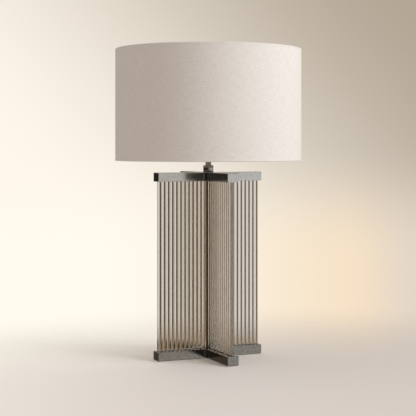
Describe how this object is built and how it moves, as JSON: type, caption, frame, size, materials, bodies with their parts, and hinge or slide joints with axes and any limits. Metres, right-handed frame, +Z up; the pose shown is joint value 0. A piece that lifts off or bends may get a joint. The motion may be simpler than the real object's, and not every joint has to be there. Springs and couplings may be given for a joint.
{
  "type": "column table lamp",
  "caption": "Table lamp with a cross-shaped column of upright smoked-glass rods between satin metal crosses, and a linen drum shade on a harp.",
  "frame": {"origin": "on the table, under the middle of the column", "axes": "+Z up; the four arms lie along +X, -X, +Y and -Y; the switch faces -Y and the cable enters at +Y"},
  "size_m": [0.4063, 0.4064, 0.6795],
  "materials": {
    "base_metal": "satin gunmetal plating",
    "top_metal": "satin gunmetal plating",
    "neck_metal": "polished gunmetal plating",
    "tube_metal": "dark plating",
    "smoked_glass": "clear, polished, lightly smoked",
    "gasket_rubber": "matt",
    "felt": "wool felt",
    "bushing_plastic": "matt",
    "zinc_steel": "zinc plated",
    "harp_metal": "nickel plated",
    "holder_metal": "satin brass plating",
    "holder_core": "glazed ceramic look",
    "contact_brass": "bright",
    "switch_plastic": "moulded phenolic",
    "bulb_cap_metal": "bright",
    "bulb_glass": "frosted white",
    "shade_cloth": "off-white slub linen on a stiff liner",
    "shade_wire": "white powder coat",
    "finial_metal": "polished gunmetal plating"
  },
  "bodies": {
    "stand": {"base_cross": "base_metal", "felt_sole": "felt", "cable_bushing": "bushing_plastic", "top_cross": "top_metal", "lower_rod_gasket": "gasket_rubber", "upper_rod_gasket": "gasket_rubber", "glass_rods_right": "smoked_glass", "glass_rods_left": "smoked_glass", "glass_rods_back": "smoked_glass", "glass_rods_front": "smoked_glass", "column_tube": "tube_metal", "clamp_nut": "zinc_steel", "neck": "neck_metal", "harp_saddle": "harp_metal", "socket_cap": "holder_metal", "socket_shell": "holder_metal", "socket_insert": "holder_core", "socket_contact": "contact_brass"},
    "harp": {"harp": "harp_metal", "harp_stud": "harp_metal"},
    "sleeve_left": {"harp_sleeve_left": "harp_metal"},
    "sleeve_right": {"harp_sleeve_right": "harp_metal"},
    "switch": {"switch_shaft": "contact_brass", "switch_key": "switch_plastic"},
    "bulb": {"bulb_screw": "bulb_cap_metal", "bulb_glass": "bulb_glass"},
    "shade": {"shade_drum": "shade_cloth", "shade_hoop_top": "shade_wire", "shade_hoop_bottom": "shade_wire", "spider_hub": "shade_wire", "spider_arms": "shade_wire"},
    "finial": {"finial": "finial_metal"}
  },
  "joints": [
    {"name": "switch_turn", "type": "hinge", "parent": "stand", "child": "switch", "pos_m": [0, -0.02, 0.4581], "axis": [0, -1, 0], "continuous": true},
    {"name": "bulb_turn", "type": "hinge", "parent": "stand", "child": "bulb", "pos_m": [0, 0, 0.48], "axis": [0, 0, 1], "continuous": true},
    {"name": "harp_lift", "type": "slide", "parent": "stand", "child": "harp", "axis": [0, 0, 1], "range_m": [0, 0.03]},
    {"name": "sleeve_left_lift", "type": "slide", "parent": "harp", "child": "sleeve_left", "axis": [0, 0, 1], "range_m": [0, 0.0125]},
    {"name": "sleeve_right_lift", "type": "slide", "parent": "harp", "child": "sleeve_right", "axis": [0, 0, 1], "range_m": [0, 0.0125]},
    {"name": "shade_lift", "type": "slide", "parent": "harp", "child": "shade", "axis": [0, 0, 1], "range_m": [0, 0.25]},
    {"name": "finial_turn", "type": "hinge", "parent": "shade", "child": "finial", "pos_m": [0, 0, 0.66], "axis": [0, 0, 1], "continuous": true}
  ]
}
